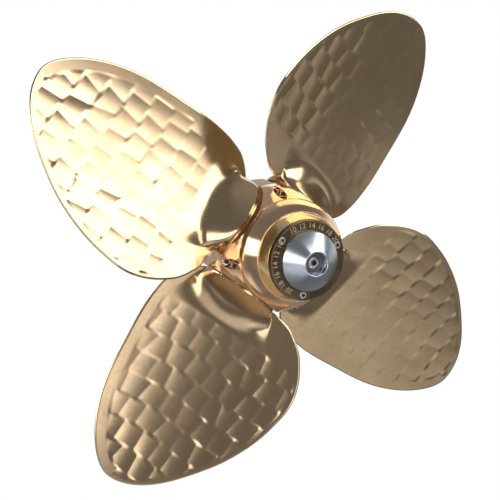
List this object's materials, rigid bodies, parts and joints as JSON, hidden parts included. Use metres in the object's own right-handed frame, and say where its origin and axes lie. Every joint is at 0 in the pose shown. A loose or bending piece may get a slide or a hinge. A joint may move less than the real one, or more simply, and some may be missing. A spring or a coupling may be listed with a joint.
{
  "type": "feathering boat propeller",
  "caption": "Boat propeller whose bronze blades turn in a split hub by bevel gears, from ahead through feathered to astern, with a cone anode.",
  "frame": {"origin": "where the blade axes cross the shaft axis", "axes": "+Y along the shaft towards the boat's bow, +Z along one blade's axis at rest; the cone anode points to -Y"},
  "size_m": [0.5338, 0.1684, 0.5338],
  "materials": {
    "blade_bronze": "satin, shallow ground scoops",
    "hub_bronze": "polished",
    "gear_bronze": "machined",
    "ring_brass": "turned",
    "cover_bronze": "dark, machined",
    "anode_zinc": "turned",
    "dark_steel": "satin",
    "stainless_steel": "satin",
    "seal_rubber": "matte",
    "bearing_polymer": "matte"
  },
  "bodies": {
    "inner_hub": {"driver_hub": "hub_bronze", "drive_gear": "gear_bronze", "drive_gear_screws": "stainless_steel", "shaft_nut": "hub_bronze", "tab_washer": "dark_steel"},
    "housing": {"housing_rear": "hub_bronze", "housing_front": "hub_bronze", "stop_key": "dark_steel", "hub_dowels": "stainless_steel", "hub_screws": "stainless_steel", "front_bush": "bearing_polymer", "shaft_seal": "seal_rubber", "thrust_washer": "bearing_polymer", "rear_bush": "bearing_polymer", "pitch_ring": "ring_brass", "pitch_ring_screws": "stainless_steel", "end_cover": "cover_bronze", "cover_seal": "seal_rubber", "cover_screws": "stainless_steel", "anode": "anode_zinc", "anode_sleeve": "dark_steel", "anode_screw": "stainless_steel"},
    "blade_1": {"blade_1": "blade_bronze", "blade_gear_1": "gear_bronze", "blade_gear_screw_1": "stainless_steel", "blade_gear_pins_1": "stainless_steel", "blade_seal_1": "seal_rubber"},
    "blade_2": {"blade_2": "blade_bronze", "blade_gear_2": "gear_bronze", "blade_gear_screw_2": "stainless_steel", "blade_gear_pins_2": "stainless_steel", "blade_seal_2": "seal_rubber"},
    "blade_3": {"blade_3": "blade_bronze", "blade_gear_3": "gear_bronze", "blade_gear_screw_3": "stainless_steel", "blade_gear_pins_3": "stainless_steel", "blade_seal_3": "seal_rubber"},
    "blade_4": {"blade_4": "blade_bronze", "blade_gear_4": "gear_bronze", "blade_gear_screw_4": "stainless_steel", "blade_gear_pins_4": "stainless_steel", "blade_seal_4": "seal_rubber"}
  },
  "joints": [
    {"name": "housing_turn", "type": "hinge", "parent": "inner_hub", "child": "housing", "pos_m": [0, 0, 0], "axis": [0, 1, 0], "range_deg": [0, 96.6]},
    {"name": "blade_pitch_1", "type": "hinge", "parent": "housing", "child": "blade_1", "pos_m": [0, 0, 0], "axis": [0, 0, 1], "range_deg": [0, 138]},
    {"name": "blade_pitch_2", "type": "hinge", "parent": "housing", "child": "blade_2", "pos_m": [0, 0, 0], "axis": [-1, 0, 0], "range_deg": [0, 138]},
    {"name": "blade_pitch_3", "type": "hinge", "parent": "housing", "child": "blade_3", "pos_m": [0, 0, 0], "axis": [0, 0, -1], "range_deg": [0, 138]},
    {"name": "blade_pitch_4", "type": "hinge", "parent": "housing", "child": "blade_4", "pos_m": [0, 0, 0], "axis": [1, 0, 0], "range_deg": [0, 138]}
  ],
  "couplings": [
    {"joint": "blade_pitch_1", "follows": "housing_turn", "ratio": 1.4286},
    {"joint": "blade_pitch_2", "follows": "housing_turn", "ratio": 1.4286},
    {"joint": "blade_pitch_3", "follows": "housing_turn", "ratio": 1.4286},
    {"joint": "blade_pitch_4", "follows": "housing_turn", "ratio": 1.4286}
  ]
}
